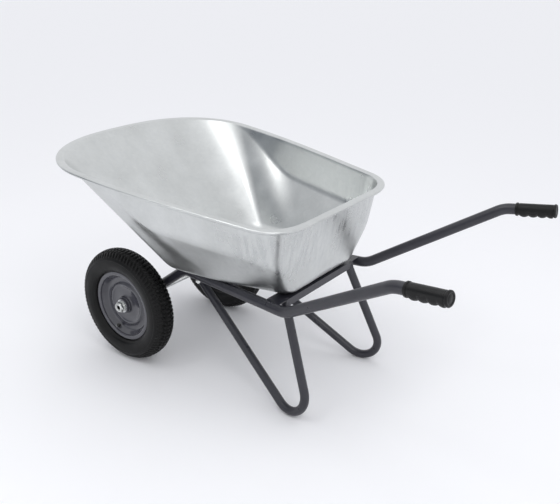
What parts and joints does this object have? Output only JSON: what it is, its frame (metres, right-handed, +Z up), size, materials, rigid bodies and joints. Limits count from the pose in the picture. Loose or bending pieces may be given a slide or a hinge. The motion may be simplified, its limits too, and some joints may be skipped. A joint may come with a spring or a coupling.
{
  "type": "wheelbarrow",
  "caption": "Wheelbarrow with a deep galvanised pan on a bent-tube frame, looped tube legs, side-by-side pneumatic wheels on one axle and rubber grips.",
  "frame": {"origin": "on the ground, under the middle of the whole barrow", "axes": "+X forward from the grips to the front of the pan, +Y to the left when pushing, +Z up"},
  "size_m": [1.3439, 0.75, 0.6633],
  "materials": {
    "galvanised_sheet": "hot-dip galvanised sheet steel, satin, with soft drawing streaks",
    "powder_coat": "anthracite powder coat, semi-gloss, slight orange peel",
    "rim_paint": "anthracite powder coat on pressed steel, glossier than the frame",
    "zinc_plate": "bright zinc plate on turned and pressed steel",
    "bearing_steel": "ground bearing steel",
    "tyre": "black carcass rubber, matt, dusty in the tread",
    "tube_rubber": "smooth black butyl rubber",
    "grip_rubber": "moulded black rubber, satin",
    "cap_plastic": "moulded black plastic"
  },
  "bodies": {
    "frame": {"pan": "galvanised_sheet", "left_rail": "powder_coat", "right_rail": "powder_coat", "left_leg": "powder_coat", "right_leg": "powder_coat", "rear_cross_angle": "powder_coat", "front_cross_tube": "powder_coat", "left_axle_sleeve": "powder_coat", "right_axle_sleeve": "powder_coat", "axle": "zinc_plate", "axle_spacers": "zinc_plate", "axle_washers": "zinc_plate", "axle_nuts": "zinc_plate", "left_grip": "grip_rubber", "right_grip": "grip_rubber", "pan_bolts": "zinc_plate", "pan_washers": "zinc_plate", "pan_nuts": "zinc_plate"},
    "left_wheel": {"left_tyre": "tyre", "left_inner_tube": "tube_rubber", "left_rim_outer": "rim_paint", "left_rim_inner": "rim_paint", "left_hub": "rim_paint", "left_bearings": "bearing_steel", "left_valve_stem": "tube_rubber", "left_valve_cap": "cap_plastic"},
    "right_wheel": {"right_tyre": "tyre", "right_inner_tube": "tube_rubber", "right_rim_outer": "rim_paint", "right_rim_inner": "rim_paint", "right_hub": "rim_paint", "right_bearings": "bearing_steel", "right_valve_stem": "tube_rubber", "right_valve_cap": "cap_plastic"}
  },
  "joints": [
    {"name": "left_wheel_spin", "type": "hinge", "parent": "frame", "child": "left_wheel", "pos_m": [0.43009, 0.223, 0.18], "axis": [0, 1, 0], "continuous": true},
    {"name": "right_wheel_spin", "type": "hinge", "parent": "frame", "child": "right_wheel", "pos_m": [0.43009, -0.223, 0.18], "axis": [0, 1, 0], "continuous": true}
  ]
}
